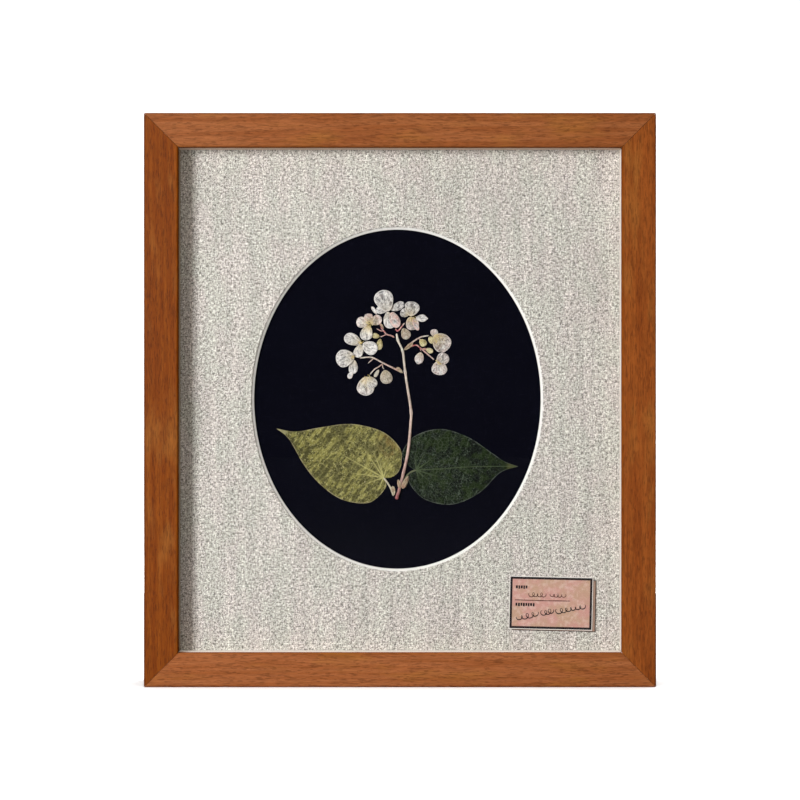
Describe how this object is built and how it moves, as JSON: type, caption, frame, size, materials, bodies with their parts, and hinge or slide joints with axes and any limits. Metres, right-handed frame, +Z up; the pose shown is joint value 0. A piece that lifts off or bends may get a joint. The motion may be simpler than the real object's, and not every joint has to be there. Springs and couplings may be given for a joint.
{
  "type": "pressed flower frame",
  "caption": "Wooden box frame with a dried flowering plant behind glass, on black card in the oval opening of a linen-faced mat, with a small paper label",
  "frame": {"origin": "centre of the frame's underside: mid width, mid depth, z = 0 on the surface that it stands on", "axes": "+Z up; the glass faces -Y; +X to the right as seen from the front"},
  "size_m": [0.256, 0.03, 0.287],
  "materials": {
    "frame_wood": "open-grained wood stained orange brown, satin",
    "clear_glass": "clear flat picture glass",
    "white_board": "white board core, cut clean",
    "linen": "coarse natural linen with dark and white flecks",
    "black_card": "matt black card",
    "back_board": "thin brown fibreboard",
    "steel": "bare steel strip",
    "backing_paper": "off-white paper",
    "label_paper": null,
    "leaf_olive": "dry olive leaf, creased and veined",
    "leaf_dark_green": "dry dark green leaf, creased and veined",
    "dry_stem": "dry flattened stem, pale above and reddish below",
    "dry_bract": "dry rust-brown scale",
    "dry_bud": "dry cream and yellow bud",
    "dry_petal": "dry off-white petal, thin and pleated"
  },
  "bodies": {
    "root": {"back_panel": "back_board", "black_card": "black_card", "bract_left": "dry_bract", "bract_right": "dry_bract", "branch_lower_left": "dry_stem", "branch_right": "dry_stem", "branch_right_lower": "dry_stem", "branch_top_right": "dry_stem", "branch_upper_left": "dry_stem", "bud_drooping": "dry_bud", "bud_lower": "dry_bud", "bud_right_upper": "dry_bud", "bud_top": "dry_bud", "bud_yellow_left": "dry_bud", "bud_yellow_right": "dry_bud", "glass": "clear_glass", "label_backing": "backing_paper", "label_card": "label_paper", "leaf_left": "leaf_olive", "leaf_right": "leaf_dark_green", "linen_facing": "linen", "mat_board": "white_board", "petal_a_left": "dry_petal", "petal_a_lower": "dry_petal", "petal_a_lower_right": "dry_petal", "petal_a_right": "dry_petal", "petal_a_top": "dry_petal", "petal_b_left": "dry_petal", "petal_b_lower": "dry_petal", "petal_b_right": "dry_petal", "petal_b_top": "dry_petal", "petal_c_left": "dry_petal", "petal_c_lower": "dry_petal", "petal_c_right": "dry_petal", "petal_d_left": "dry_petal", "petal_d_lower": "dry_petal", "petal_e_lower": "dry_petal", "petal_e_right": "dry_petal", "petal_g_left": "dry_petal", "petal_g_lower": "dry_petal", "petal_g_right": "dry_petal", "petal_g_top": "dry_petal", "petal_h_left": "dry_petal", "petal_h_lower": "dry_petal", "petal_i_lower": "dry_petal", "petal_i_top": "dry_petal", "rail_bottom": "frame_wood", "rail_left": "frame_wood", "rail_right": "frame_wood", "rail_top": "frame_wood", "sawtooth_hanger": "steel", "spacer_bottom": "white_board", "spacer_left": "white_board", "spacer_right": "white_board", "spacer_top": "white_board", "stem": "dry_stem", "tab_bottom": "steel", "tab_left": "steel", "tab_right": "steel", "tab_top": "steel"}
  },
  "joints": []
}
